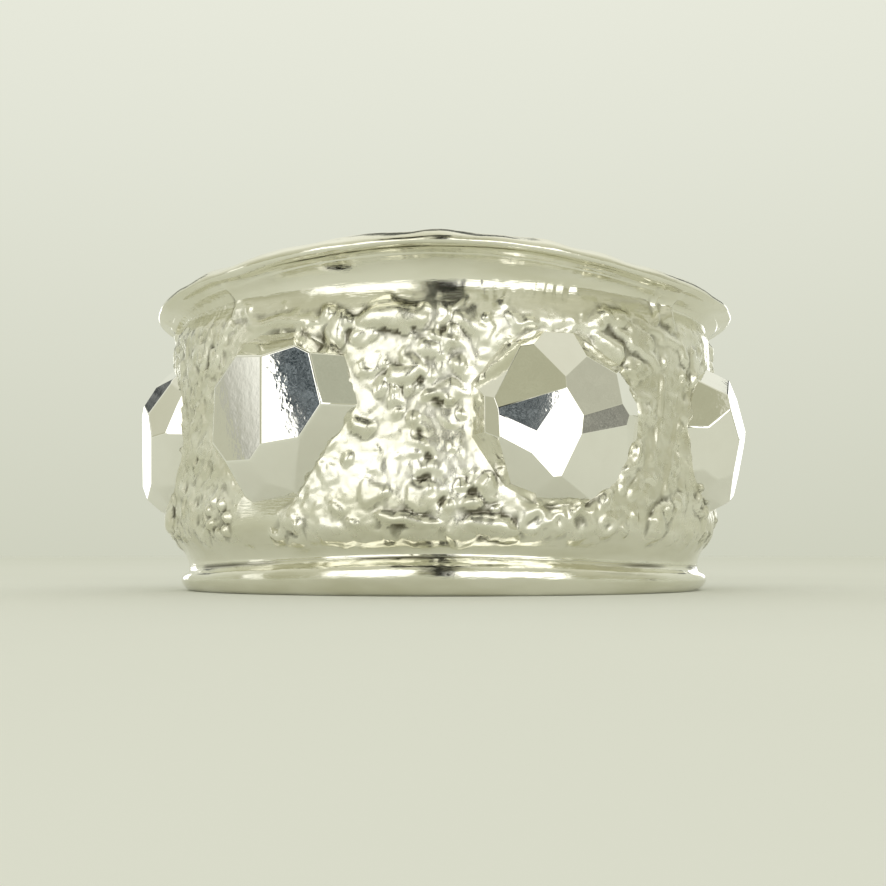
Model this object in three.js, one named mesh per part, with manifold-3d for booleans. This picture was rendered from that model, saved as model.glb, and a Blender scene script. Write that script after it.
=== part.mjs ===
// A wide cast silver finger ring: a band between a rolled foot and a flared lip, with faceted bosses
// round it. Millimetres, +Z up along the finger, lying on its foot. The origin is the centre of the
// foot, and the side that is seen first faces -Y.
import * as THREE from "three";
import { ConvexGeometry } from "three/addons/geometries/ConvexGeometry.js";
import { ParametricGeometry } from "three/addons/geometries/ParametricGeometry.js";
import { mergeVertices } from "three/addons/utils/BufferGeometryUtils.js";
import Module from "manifold-3d";

// Driving dimensions
const FINGER_RADIUS = 9.3;
const BAND_HEIGHT = 11.2;
const WALL = 1.2;
const TURN_STEPS = 96;

// Bosses
const BOSS_COUNT = 7;
const BOSS_FIRST_DEG = -30; // the boss left of the front, counted from the front
const BOSS_HEIGHT = 5.8; // of its centre over the foot
const BOSS_RADIUS = 3.0; // where it leaves the ground
const BOSS_DEPTH = 1.5; // of its centre under the ground
const BOSS_ROOT = 0.7; // how deep it is set in the wall
const SKIRT_SIDES = 12;
const SKIRT_LEAN_DEG = 74;
const SKIRT_WAVER = 0.1; // how far its sides stray from a regular polygon
const SKIRT_WAVES = 3; // of that straying, once round the boss

const GROUND_RADIUS = FINGER_RADIUS + WALL;

// Points closer than this are one corner, and planes closer to parallel than this don't meet.
const SAME_POINT = 1e-4;
const PARALLEL = 1e-6;

// The band's section, once round from the foot's inner edge. height is from the foot and stand is out
// from the finger. sway and lift are how far the row follows the rims' hand-worked waver, out and up.
const TOP = BAND_HEIGHT;
const SECTION = [
  { height: 0, stand: 0.22, sway: 0, lift: 0 }, // foot
  { height: 0, stand: 0.55, sway: 0, lift: 0 },
  { height: 0.14, stand: 0.76, sway: 0.2, lift: 0 }, // lower roll
  { height: 0.42, stand: 0.9, sway: 0.4, lift: 0.2 },
  { height: 0.72, stand: 0.86, sway: 0.4, lift: 0.4 },
  { height: 0.93, stand: 0.64, sway: 0.3, lift: 0.5 }, // lower cove
  { height: 1.15, stand: 0.6, sway: 0.2, lift: 0.4 },
  { height: 1.5, stand: 0.74, sway: 0, lift: 0.2 },
  { height: 1.85, stand: 1.0, sway: 0, lift: 0 },
  { height: 2.25, stand: WALL, sway: 0, lift: 0 }, // ground
  { height: TOP / 2, stand: WALL, sway: 0, lift: 0 },
  { height: TOP - 1.95, stand: WALL, sway: 0, lift: 0 },
  { height: TOP - 1.55, stand: 1.08, sway: 0, lift: 0 }, // upper cove
  { height: TOP - 1.2, stand: 1.0, sway: 0.1, lift: 0.25 },
  { height: TOP - 0.97, stand: 1.08, sway: 0.4, lift: 0.6 },
  { height: TOP - 0.8, stand: 1.3, sway: 0.8, lift: 0.9 },
  { height: TOP - 0.67, stand: 1.6, sway: 1, lift: 1 }, // upper lip
  { height: TOP - 0.57, stand: 1.84, sway: 1, lift: 1 },
  { height: TOP - 0.46, stand: 1.97, sway: 1, lift: 1 },
  { height: TOP - 0.32, stand: 1.95, sway: 1, lift: 1 },
  { height: TOP - 0.14, stand: 1.74, sway: 1, lift: 1 },
  { height: TOP, stand: 1.44, sway: 1, lift: 1 },
  { height: TOP, stand: 1.15, sway: 1, lift: 1 },
  { height: TOP - 0.25, stand: 0.76, sway: 0.8, lift: 0.8 }, // flared mouth
  { height: TOP - 0.8, stand: 0.3, sway: 0.4, lift: 0.4 },
  { height: TOP - 1.8, stand: 0.05, sway: 0, lift: 0 },
  { height: TOP - 3, stand: 0, sway: 0, lift: 0 }, // bore
  { height: 2, stand: 0, sway: 0, lift: 0 },
  { height: 0.9, stand: 0.03, sway: 0, lift: 0 },
  { height: 0.25, stand: 0.1, sway: 0, lift: 0 },
];

// The rims' waver: waves round the ring, each with its size in the radius and in the height.
const WAVES = [
  { turns: 2, out: 0.06, up: 0.45, phase_deg: 90 },
  { turns: 3, out: 0.09, up: 0.05, phase_deg: 160 },
  { turns: 5, out: 0.06, up: 0.05, phase_deg: 75 },
];

// The two ways in which the bosses are faceted. Each facet is a plane: turn is the way that it leans,
// seen from outside and counted from the right by way of the top, lean is how far it leans from the
// boss's axis, and off is its distance from the boss's centre.
const ROOF_FACETS = [
  { turn_deg: 180, lean_deg: 12, off: 2.7 },
  { turn_deg: 2, lean_deg: 12, off: 2.7 },
  { turn_deg: 94, lean_deg: 50, off: 3.26 },
  { turn_deg: 178, lean_deg: 62, off: 3.17 },
  { turn_deg: 13, lean_deg: 62, off: 2.93 },
  { turn_deg: 254, lean_deg: 38, off: 3.02 },
  { turn_deg: 298, lean_deg: 31, off: 2.8 },
  { turn_deg: 272, lean_deg: 52, off: 3.02 },
  { turn_deg: 220, lean_deg: 54, off: 3.2 },
  { turn_deg: 138, lean_deg: 54, off: 3.35 },
  { turn_deg: 328, lean_deg: 66, off: 2.4 },
];
const CROWN_FACETS = [
  { turn_deg: 200, lean_deg: 5, off: 2.751 },
  { turn_deg: 174, lean_deg: 19, off: 2.918 },
  { turn_deg: 158, lean_deg: 18, off: 2.83 },
  { turn_deg: 140, lean_deg: 25, off: 2.847 },
  { turn_deg: 84, lean_deg: 32, off: 2.846 },
  { turn_deg: 37, lean_deg: 23, off: 2.597 },
  { turn_deg: 349, lean_deg: 24, off: 2.61 },
  { turn_deg: 327, lean_deg: 30, off: 2.61 },
  { turn_deg: 272, lean_deg: 52, off: 3.2 },
  { turn_deg: 223, lean_deg: 46, off: 3.27 },
  { turn_deg: 20, lean_deg: 40, off: 2.86 },
  { turn_deg: 55, lean_deg: 42, off: 2.88 },
  { turn_deg: 345, lean_deg: 40, off: 2.85 },
  { turn_deg: 112, lean_deg: 52, off: 3.25 },
  { turn_deg: 147, lean_deg: 58, off: 3.17 },
  { turn_deg: 180, lean_deg: 60, off: 3.3 },
];

// How far each boss is turned about its own axis
const BOSS_TWISTS_DEG = [0, 0, 100, 215, 320, 60, 160];

const wasm = await Module();
wasm.setup();

const radians = THREE.MathUtils.degToRad;

// How far the rims waver at an angle round the ring, in one column of WAVES.
function waver(angle, column) {
  return WAVES.reduce(
    (sum, wave) => sum + wave[column] * Math.sin(wave.turns * angle + radians(wave.phase_deg)),
    0,
  );
}

// A point of the band: turn and round run from 0 to 1, about the finger and about the section.
function bandPoint(turn, round, target) {
  const angle = 2 * Math.PI * turn;
  const row = SECTION[Math.round(round * SECTION.length) % SECTION.length];
  const radius = FINGER_RADIUS + row.stand + row.sway * waver(angle, "out");
  const height = row.height + row.lift * waver(angle, "up");
  target.set(radius * Math.sin(angle), -radius * Math.cos(angle), height);
}

// A closed three.js geometry as a solid that can be joined to another.
function solidOf(geometry) {
  const bare = geometry.clone();
  bare.deleteAttribute("normal");
  bare.deleteAttribute("uv");
  const merged = mergeVertices(bare, SAME_POINT);
  return new wasm.Manifold(
    new wasm.Mesh({
      numProp: 3,
      vertProperties: merged.attributes.position.array,
      triVerts: new Uint32Array(merged.index.array),
    }),
  );
}

// A joined solid as a three.js geometry, with a flat normal on each face.
function geometryOf(solid) {
  const mesh = solid.getMesh();
  const geometry = new THREE.BufferGeometry();
  geometry.setAttribute("position", new THREE.BufferAttribute(mesh.vertProperties, 3));
  geometry.setIndex(new THREE.BufferAttribute(mesh.triVerts, 1));
  const faceted = geometry.toNonIndexed();
  faceted.computeVertexNormals();
  return faceted;
}

// A direction in a boss's own frame, in which X is to the right, Y up and Z out along its axis.
function leaning(turn, lean) {
  return new THREE.Vector3(
    Math.cos(turn) * Math.sin(lean),
    Math.sin(turn) * Math.sin(lean),
    Math.cos(lean),
  );
}

// The planes that bound a boss, about its centre: facets, a skirt of steep sides, and a root.
function bossPlanes(facets) {
  const cut = facets.map(
    ({ turn_deg, lean_deg, off }) =>
      new THREE.Plane(leaning(radians(turn_deg), radians(lean_deg)), -off),
  );
  const skirt = Array.from({ length: SKIRT_SIDES }, (_, side) => {
    const turn = (2 * Math.PI * side) / SKIRT_SIDES;
    const radius = BOSS_RADIUS - SKIRT_WAVER * (1 + Math.sin(SKIRT_WAVES * turn + facets.length));
    const foot = new THREE.Vector3(radius * Math.cos(turn), radius * Math.sin(turn), BOSS_DEPTH);
    const normal = leaning(turn, radians(SKIRT_LEAN_DEG));
    return new THREE.Plane().setFromNormalAndCoplanarPoint(normal, foot);
  });
  const root = new THREE.Plane(new THREE.Vector3(0, 0, -1), BOSS_DEPTH - BOSS_ROOT);
  return [...cut, ...skirt, root];
}

// The point where three planes meet, or null where they don't.
function meetingPoint(a, b, c) {
  const matrix = new THREE.Matrix3().set(
    ...a.normal.toArray(),
    ...b.normal.toArray(),
    ...c.normal.toArray(),
  );
  if (Math.abs(matrix.determinant()) < PARALLEL) return null;
  return new THREE.Vector3(-a.constant, -b.constant, -c.constant).applyMatrix3(matrix.invert());
}

// A boss as the convex body that its planes enclose, about its centre.
function bossGeometry(facets) {
  const planes = bossPlanes(facets);
  const corners = [];
  planes.forEach((a, i) =>
    planes.slice(i + 1).forEach((b, j) =>
      planes.slice(i + j + 2).forEach((c) => {
        const corner = meetingPoint(a, b, c);
        const inside = corner && planes.every((plane) => plane.distanceToPoint(corner) < SAME_POINT);
        if (inside) corners.push(corner);
      }),
    ),
  );
  return new ConvexGeometry(corners);
}

// Places a boss on the ground at an angle round the ring, its axis pointing out.
function bossAt(angle, facets, twist) {
  const out = new THREE.Vector3(Math.sin(angle), -Math.cos(angle), 0);
  const up = new THREE.Vector3(0, 0, 1);
  const right = new THREE.Vector3().crossVectors(up, out);
  const matrix = new THREE.Matrix4().makeBasis(right, up, out);
  matrix.setPosition(out.multiplyScalar(GROUND_RADIUS - BOSS_DEPTH).setZ(BOSS_HEIGHT));
  return bossGeometry(facets).rotateZ(twist).applyMatrix4(matrix);
}

let body = solidOf(new ParametricGeometry(bandPoint, TURN_STEPS, SECTION.length));
for (let i = 0; i < BOSS_COUNT; i++) {
  const angle = radians(BOSS_FIRST_DEG) + (2 * Math.PI * i) / BOSS_COUNT;
  const facets = i % 2 ? CROWN_FACETS : ROOF_FACETS;
  body = body.add(solidOf(bossAt(angle, facets, radians(BOSS_TWISTS_DEG[i]))));
}

const silver = new THREE.MeshStandardMaterial({ color: 0xe6e4da, metalness: 1, roughness: 0.16 });
const bossedBand = new THREE.Mesh(geometryOf(body), silver);
bossedBand.name = "bossed_band";

const ring = new THREE.Group();
ring.add(bossedBand);

export default ring;
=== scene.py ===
import math

import bmesh
import bpy
import numpy as np
from mathutils import Matrix, Quaternion, Vector, noise


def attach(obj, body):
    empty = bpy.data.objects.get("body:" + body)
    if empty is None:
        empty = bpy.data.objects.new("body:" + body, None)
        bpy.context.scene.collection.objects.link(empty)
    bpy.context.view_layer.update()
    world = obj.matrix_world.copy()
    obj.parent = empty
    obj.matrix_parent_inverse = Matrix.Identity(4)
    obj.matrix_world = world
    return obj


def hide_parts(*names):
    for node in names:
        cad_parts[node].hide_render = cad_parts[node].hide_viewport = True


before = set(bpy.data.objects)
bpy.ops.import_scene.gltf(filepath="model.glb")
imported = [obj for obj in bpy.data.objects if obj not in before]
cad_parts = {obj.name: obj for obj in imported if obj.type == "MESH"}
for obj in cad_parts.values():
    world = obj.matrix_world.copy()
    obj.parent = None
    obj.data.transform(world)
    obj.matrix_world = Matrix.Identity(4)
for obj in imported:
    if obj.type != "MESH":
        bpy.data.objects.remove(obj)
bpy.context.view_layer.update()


def table(columns, *rows):
    """Rows of values, each as a dictionary by the names of the columns."""
    return [dict(zip(columns, row)) for row in rows]


# Sizes are in millimetres, as the frame's were designed, and every mesh is made in metres.
MM = 0.001
SEED = 7

# Driving dimensions of the frame
FINGER_RADIUS = 9.3
BAND_HEIGHT = 11.2
WALL = 1.2
GROUND_RADIUS = FINGER_RADIUS + WALL
GROUND_LENGTH = 2 * math.pi * GROUND_RADIUS

# Bosses, as in the frame, with edges softened by a bevel
BOSS_COUNT = 7
BOSS_FIRST_DEG = -30
BOSS_HEIGHT = 5.8
BOSS_RADIUS = 3.0
BOSS_DEPTH = 1.5
BOSS_ROOT = 0.7
SKIRT_SIDES = 12
SKIRT_LEAN_DEG = 74
SKIRT_WAVER = 0.1
SKIRT_WAVES = 3
BOSS_BEVEL = 0.05
BOSS_BEVEL_STEPS = 3
BOSS_BEVEL_ROUND = 0.5
BOSS_ANGLES = [math.radians(BOSS_FIRST_DEG) + 2 * math.pi * i / BOSS_COUNT for i in range(BOSS_COUNT)]

# How near counts as the same, when a boss is cut by its planes
PARALLEL = 1e-6
CUT_SLACK = 1e-4
SAME_CORNER = 1e-3
SAME_PLANE_DEG = 0.5

# The band's section, once round from the foot's inner edge: height over the foot, stand out from
# the finger, sway and lift with the rims' waver, and the pitch of the mesh rows to the next point.
TOP = BAND_HEIGHT
SECTION = table(
    ("height", "stand", "sway", "lift", "pitch"),
    (0, 0.22, 0, 0, 0.17),
    (0, 0.55, 0, 0, 0.08),
    (0.14, 0.76, 0.2, 0, 0.08),
    (0.42, 0.9, 0.4, 0.2, 0.08),
    (0.72, 0.86, 0.4, 0.4, 0.07),
    (0.93, 0.64, 0.3, 0.5, 0.07),
    (1.15, 0.6, 0.2, 0.4, 0.1),
    (1.5, 0.74, 0, 0.2, 0.1),
    (1.85, 1.0, 0, 0, 0.11),
    (2.25, WALL, 0, 0, 0.15),
    (TOP / 2, WALL, 0, 0, 0.16),
    (TOP - 1.95, WALL, 0, 0, 0.11),
    (TOP - 1.55, 1.08, 0, 0, 0.1),
    (TOP - 1.2, 1.0, 0.1, 0.25, 0.09),
    (TOP - 0.97, 1.08, 0.4, 0.6, 0.08),
    (TOP - 0.8, 1.3, 0.8, 0.9, 0.07),
    (TOP - 0.67, 1.6, 1, 1, 0.05),
    (TOP - 0.57, 1.84, 1, 1, 0.04),
    (TOP - 0.46, 1.97, 1, 1, 0.04),
    (TOP - 0.32, 1.95, 1, 1, 0.05),
    (TOP - 0.14, 1.74, 1, 1, 0.07),
    (TOP, 1.44, 1, 1, 0.1),
    (TOP, 1.15, 1, 1, 0.13),
    (TOP - 0.25, 0.76, 0.8, 0.8, 0.2),
    (TOP - 0.8, 0.3, 0.4, 0.4, 0.3),
    (TOP - 1.8, 0.05, 0, 0, 0.6),
    (TOP - 3, 0, 0, 0, 1.4),
    (2, 0, 0, 0, 0.6),
    (0.9, 0.03, 0, 0, 0.4),
    (0.25, 0.1, 0, 0, 0.2),
)

# Where the band's outside ends on the lip and begins over the foot, and the least way between knots
RIM_STAND = 1.2
FOOT_CLEAR = 0.05
LEAST_WAY = 1e-3

# The rims' waver, as in the frame
WAVES = table(
    ("turns", "out", "up", "phase_deg"),
    (2, 0.06, 0.45, 90),
    (3, 0.09, 0.05, 160),
    (5, 0.06, 0.05, 75),
)

# The facets of the two kinds of boss, as in the frame: each is a plane, with the way that it leans,
# seen from outside and counted from the right by way of the top, how far it leans from the boss's
# axis, and its distance from the boss's centre, which is under the ground by its depth.
ROOF_FACETS = table(
    ("turn_deg", "lean_deg", "off"),
    (180, 12, 2.7),
    (2, 12, 2.7),
    (94, 50, 3.26),
    (178, 62, 3.17),
    (13, 62, 2.93),
    (254, 38, 3.02),
    (298, 31, 2.8),
    (272, 52, 3.02),
    (220, 54, 3.2),
    (138, 54, 3.35),
    (328, 66, 2.4),
)
CROWN_FACETS = table(
    ("turn_deg", "lean_deg", "off"),
    (200, 5, 2.751),
    (174, 19, 2.918),
    (158, 18, 2.83),
    (140, 25, 2.847),
    (84, 32, 2.846),
    (37, 23, 2.597),
    (349, 24, 2.61),
    (327, 30, 2.61),
    (272, 52, 3.2),
    (223, 46, 3.27),
    (20, 40, 2.86),
    (55, 42, 2.88),
    (345, 40, 2.85),
    (112, 52, 3.25),
    (147, 58, 3.17),
    (180, 60, 3.3),
)
ROOF_CUT = ROOF_FACETS[-1]
BOSS_TWISTS_DEG = [0, 0, 100, 215, 320, 60, 160]

# The band's outside, from the crease over the foot's roll to the lip, is a skin of its own, in which
# the molten ground runs out into the smooth coves. Its ends are let into the band.
SKIN_LOW = 1.05
SKIN_HIGH = TOP - 0.72
SKIN_SEAM = 0.03
SKIN_LAP = 0.15
SKIN_LIFT = 0.003
SKIN_INSIDE = table(
    ("height", "stand"),
    (TOP - 1.4, 0.45),
    (TOP - 2.8, 0.3),
    (2, 0.3),
)
SINK = 0.4
GROUND_STEPS = 816
GROUND_PITCH = 0.088
COVE_PITCH = 0.06
GROUND_LOW = 1.7
GROUND_HIGH = 9.55
GROUND_EDGE = 0.45
GROUND_MARGIN = 0.55
EDGE_SIZE = 0.65
EDGE_WAVER = 0.35

# Smooth patches, where the ground leaves the band bare: which boss each lies by, which way from it,
# how far and how wide.
SMOOTH_PATCHES = table(
    ("boss", "turn_deg", "away", "radius"),
    (0, 251, 3.4, 1.2),
    (0, 263, 2.5, 0.9),
    (2, 95, 3.4, 1.2),
    (3, 285, 3.3, 1.5),
    (5, 250, 3.4, 1.4),
)
PATCH_EDGE = 0.6

# Waver of the ground's features, so that none of them is a plain circle
WARPS = table(
    ("size", "shift"),
    (0.8, 0.16),
    (0.32, 0.07),
)
WARP_REACH = 0.35

# Fused pebbles, and smaller curds on them, from cell noises: the size of the cells, the width of
# their rounded edges for that size, and how far they rise. Each pebble has a level of its own.
PEBBLES = {"size": 1.2, "edge": 0.45, "rise": 0.3}
CURDS = {"size": 0.5, "edge": 0.5, "rise": 0.035}
PEBBLE_LEVEL = 0.5
PEBBLE_HASH = 3.7

# Single grains: how many places are tried, the range of their radii, their rise for their radius,
# and how near two may lie for the sum of their radii.
GRAINS = table(
    ("tries", "small", "large", "rise", "near"),
    (120, 0.35, 0.65, 0.4, 1.2),
    (900, 0.14, 0.3, 0.7, 1.0),
)
GRAIN_POWER = 4
GRAIN_BIAS = 1.8
GRAIN_STRETCH = 0.9
GRAIN_RISES = (0.5, 1.15)

# Nets of fine ridges, where the ground has few pebbles
NETS = table(
    ("size", "width", "rise"),
    (0.85, 0.16, 0.08),
    (0.42, 0.2, 0.035),
)

# Where the ground is pebbly: a noise, and spots with more or fewer pebbles
PEBBLY_SIZE = 4.5
PEBBLY_SHARE = 0.35
PEBBLY_RANGE = (-0.3, 0.3)
PEBBLY_LEAST = 0.3
PEBBLY_SPOTS = table(
    ("turn_deg", "width_deg", "more"),
    (-53, 16, -0.9),
    (52, 20, -0.5),
    (-27, 9, 0.6),
    (21, 9, 0.5),
    (-2, 12, 0.7),
    (180, 45, 0.5),
)

# The ground's swell, and how deep its pebbles are set
SWELL_SIZE = 2.6
SWELL_RISE = 0.09
GROUND_SET = 0.13

# Ridges that run over the ground, from one place to another, each as turn round the ring and height
STROKES = table(
    ("from_deg", "from_height", "to_deg", "to_height", "width", "rise"),
    (-20, 5.1, -33, 1.6, 0.14, 0.12),
    (-44, 9.4, -49, 7.8, 0.1, 0.16),
    (-49, 9.4, -55, 7.4, 0.1, 0.16),
    (-37, 9.15, -19, 8.95, 0.18, 0.14),
    (30, 9.3, 44, 7.9, 0.16, 0.1),
    (36, 9.4, 52, 8.6, 0.14, 0.09),
    (46, 7.4, 44, 5.2, 0.14, 0.08),
    (53, 6.6, 46, 3.6, 0.14, 0.08),
    (143, 8.3, 147, 6.0, 0.13, 0.1),
    (250, 8.5, 256, 6.8, 0.13, 0.1),
)

# Smooth pillows on the ground: place, half length, half width, tilt and rise
PILLOWS = table(
    ("turn_deg", "height", "long", "short", "tilt_deg", "rise"),
    (-9, 9.0, 1.2, 0.44, 3, 0.28),
    (9, 2.15, 0.95, 0.38, -10, 0.28),
    (-6, 2.45, 1.1, 0.22, -5, 0.2),
    (-7, 7.1, 0.7, 0.32, 20, 0.22),
    (5, 8.7, 0.6, 0.26, -28, 0.15),
    (98, 3.6, 1.1, 0.5, 20, 0.28),
    (147, 8.3, 1.2, 0.45, -8, 0.3),
    (203, 3.1, 1.0, 0.45, 12, 0.28),
    (254, 8.1, 1.1, 0.42, -20, 0.28),
)

# Pips in a ring, each with a wall, and rosettes of small grains: place, radius and how many grains
PIPS = table(
    ("turn_deg", "height", "radius"),
    (16, 2.5, 0.32),
    (20.5, 2.35, 0.24),
    (25.5, 2.3, 0.42),
    (31, 2.35, 0.28),
    (126, 8.6, 0.36),
    (131, 8.5, 0.27),
    (226, 2.8, 0.36),
    (231, 2.7, 0.28),
)
PIP_WALL = 0.15
PIP_RISE = 0.12
ROSETTES = table(
    ("turn_deg", "height", "radius", "grains"),
    (-47, 2.6, 0.55, 7),
    (62, 3.3, 0.5, 6),
    (176, 2.8, 0.55, 7),
)
ROSETTE_GRAIN = 0.2
ROSETTE_RISE = 0.2

# Pits in the ground: place, radius and depth
PITS = table(
    ("turn_deg", "height", "radius", "depth"),
    (0, 8.55, 0.14, 0.16),
    (-4.1, 6.95, 0.13, 0.15),
    (-0.8, 6.3, 0.17, 0.2),
    (-4.4, 5.25, 0.14, 0.17),
    (-2.6, 4.5, 0.15, 0.18),
    (-3.2, 3.7, 0.17, 0.2),
    (3.8, 3.7, 0.13, 0.16),
    (4.8, 3.3, 0.15, 0.18),
    (-0.3, 3.05, 0.15, 0.17),
    (97, 6.2, 0.16, 0.18),
    (99, 5.1, 0.14, 0.17),
    (149, 4.6, 0.15, 0.18),
    (152, 5.4, 0.14, 0.16),
    (201, 7.3, 0.16, 0.18),
    (203, 5.2, 0.14, 0.16),
    (253, 5.6, 0.15, 0.18),
    (304, 4.7, 0.14, 0.16),
)

# The moat and the collar round each boss
MOAT_RADIUS = 2.9
MOAT_WIDTH = 0.2
MOAT_DEPTH = 0.05
COLLAR_RADIUS = 3.25
COLLAR_WIDTH = 0.17
COLLAR_RISE = 0.05
COLLAR_SIZE = 1.6
CLEAR_RADIUS = 2.6
CLEAR_WIDTH = 0.45

# Soft upright ribs in the upper cove: place round the ring, width to either side, and rise
RIBS = table(
    ("turn_deg", "left", "right", "rise"),
    (-43, 0.16, 1.4, 0.2),
    (49, 0.5, 0.3, 0.3),
    (45, 0.1, 0.1, 0.12),
    (104, 0.9, 0.2, 0.18),
    (168, 0.35, 0.4, 0.25),
    (231, 0.2, 1.0, 0.2),
    (283, 0.4, 0.3, 0.24),
)
RIB_LOW = TOP - 1.75
RIB_HIGH = TOP - 0.75
RIB_EDGE = 0.25

# Fine upright lines combed into the upper cove, over some stretches of it
COMBS = table(
    ("from_deg", "to_deg", "rise"),
    (5, 28, 0.012),
    (-72, -47, 0.018),
    (112, 148, 0.025),
    (196, 224, 0.025),
    (250, 275, 0.018),
)
COMB_PITCH = 0.42
COMB_DRIFT_SIZE = 1.1
COMB_DRIFT = 0.4
COMB_EDGE_DEG = 3
COMB_LOW = TOP - 1.6
COMB_HIGH = TOP - 0.85

# Marks of the hand on the smooth metal: a scribed line under the lip's edge, dents and ripples
LIP_LINE = TOP - 0.66
LIP_LINE_WAVES = 2.4
LIP_LINE_WAVER = 0.05
LIP_LINE_WIDTH = 0.06
LIP_LINE_DEPTH = 0.05
LIP_FROM = TOP - 0.8
LIP_DENT_SIZE = 1.5
LIP_DENT = 0.1
DENT_SIZE = 1.4
DENT = 0.022
RIPPLE_SIZE = 0.5
RIPPLE = 0.006

# The band's columns, and how creases are found for the painted shade in them: blurs, and the depth of a
# crease that is fully shaded
BAND_STEPS = 632
CREASE_BLURS = 14
BLUR_MIDDLE = 2
CREASE_DEPTH = 0.075

# The painted shade along the crease over the foot's roll: its height, its width, and the size of its
# breaks
ROLL_CREASE = 1.0
ROLL_CREASE_WIDTH = 0.09
ROLL_CREASE_BREAKS = 3.2
ROLL_CREASE_RANGE = (-0.35, 0.25)

# Noises by name: each has a place of its own in the noise
NOISES = [
    "warp_along", "warp_up", "edge", "pebbly", "swell", "collar",
    "lip_line", "lip_dent", "dent", "ripple", "comb", "roll_crease_shade",
]
NOISE_STEP = Vector((3.1, 2.2, -3.7))


def facets_of(i):
    return CROWN_FACETS if i % 2 else ROOF_FACETS


def smoothstep(low, high, value):
    share = np.clip((value - low) / (high - low), 0, 1)
    return share * share * (3 - 2 * share)


def bell(way, width):
    return np.exp(-((way / width) ** 2))


def waver(angle, column):
    return sum(w[column] * np.sin(w["turns"] * angle + math.radians(w["phase_deg"])) for w in WAVES)


def noise_at(points, size, name):
    """Smooth noise between about -1 and 1, with lumps of the given size, at points in millimetres."""
    place = NOISE_STEP * NOISES.index(name)
    flat = points.reshape(-1, 3) / size
    values = [noise.noise(Vector(p) + place) for p in flat]
    return np.array(values).reshape(points.shape[:-1])


def warp_at(points, name):
    return sum(w["shift"] * noise_at(points, w["size"], name) for w in WARPS)


def catmull_rom(a, b, c, d, t):
    """A point of the curve between b and c, whose knots are spaced by the square root of the way."""
    ways = [max(math.sqrt(np.linalg.norm((q - p)[:2])), LEAST_WAY) for p, q in ((a, b), (b, c), (c, d))]
    slope_b = (b - a) / ways[0] - (c - a) / (ways[0] + ways[1]) + (c - b) / ways[1]
    slope_c = (c - b) / ways[1] - (d - b) / (ways[1] + ways[2]) + (d - c) / ways[2]
    slope_b = slope_b * ways[1]
    slope_c = slope_c * ways[1]
    t2 = t * t
    t3 = t2 * t
    return (
        (2 * t3 - 3 * t2 + 1) * b
        + (t3 - 2 * t2 + t) * slope_b
        + (3 * t2 - 2 * t3) * c
        + (t3 - t2) * slope_c
    )


def section_rows():
    """The section as a closed smooth curve, row by row: stand, height, sway and lift."""
    keys = ("stand", "height", "sway", "lift")
    knots = np.array([[row[k] for k in keys] for row in SECTION])
    rows = []
    count = len(knots)
    for i in range(count):
        a, b, c, d = (knots[(i + k) % count] for k in (-1, 0, 1, 2))
        steps = max(1, round(np.linalg.norm((c - b)[:2]) / SECTION[i]["pitch"]))
        for t in np.arange(steps) / steps:
            rows.append(catmull_rom(a, b, c, d, t))
    rows = np.array(rows)
    rows[:, 1] = np.clip(rows[:, 1], 0, TOP)
    return rows


def outside_of(rows):
    """The rows from just over the foot, up the outside, to the top of the lip."""
    foot = np.argmax(rows[:, 1] > FOOT_CLEAR)
    rim = np.argmax((rows[:, 0] < RIM_STAND) & (rows[:, 1] > TOP - FOOT_CLEAR))
    return slice(foot, rim)


def turned(radius, angle, level):
    return np.stack([radius * np.sin(angle), -radius * np.cos(angle), level], -1)


def round_the_ring(way):
    """A way along the ground, brought within half a turn either side of 0."""
    return (way + GROUND_LENGTH / 2) % GROUND_LENGTH - GROUND_LENGTH / 2


def along_at(turn_deg):
    return math.radians(turn_deg) * GROUND_RADIUS


def boss_distance(along, height):
    """The way from points of the ground to the nearest boss's axis, longer by the boss's steep cut."""
    lean = math.radians(ROOF_CUT["lean_deg"])
    cut_away = (ROOF_CUT["off"] - BOSS_DEPTH * math.cos(lean)) / math.sin(lean)
    ways = []
    for i, angle in enumerate(BOSS_ANGLES):
        x = round_the_ring(along - angle * GROUND_RADIUS)
        y = height - BOSS_HEIGHT
        way = np.hypot(x, y)
        if facets_of(i) is ROOF_FACETS:
            turn = math.radians(ROOF_CUT["turn_deg"] + BOSS_TWISTS_DEG[i])
            past = x * math.cos(turn) + y * math.sin(turn) - cut_away
            way = np.maximum(way, BOSS_RADIUS + past)
        ways.append(way)
    return np.min(ways, axis=0)


def ground_share(points, along, height):
    """1 where the molten ground covers the band and 0 where the band is bare, with uneven edges."""
    edge = EDGE_WAVER * noise_at(points, EDGE_SIZE, "edge")
    low = smoothstep(GROUND_LOW - GROUND_EDGE, GROUND_LOW + GROUND_EDGE, height + edge)
    high = 1 - smoothstep(GROUND_HIGH - GROUND_EDGE, GROUND_HIGH + GROUND_EDGE, height + edge)
    share = low * high
    for patch in SMOOTH_PATCHES:
        turn = math.radians(patch["turn_deg"])
        at = BOSS_ANGLES[patch["boss"]] * GROUND_RADIUS + patch["away"] * math.cos(turn)
        up = BOSS_HEIGHT + patch["away"] * math.sin(turn)
        way = np.hypot(round_the_ring(along - at), height - up) + edge
        share = share * smoothstep(PATCH_EDGE * patch["radius"], patch["radius"], way)
    return share


def scatter(grains, rng):
    """Places grains on the ground by trying places at random: along, height and radius of each."""
    placed = np.zeros((0, 3))
    for _ in range(grains["tries"]):
        radius = grains["small"] + (grains["large"] - grains["small"]) * rng.random() ** GRAIN_BIAS
        along = rng.random() * GROUND_LENGTH
        height = GROUND_LOW + (GROUND_HIGH - GROUND_LOW) * rng.random()
        gaps = np.hypot(round_the_ring(placed[:, 0] - along), placed[:, 1] - height)
        if np.all(gaps > grains["near"] * (placed[:, 2] + radius)):
            placed = np.vstack([placed, (along, height, radius)])
    return placed


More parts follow.
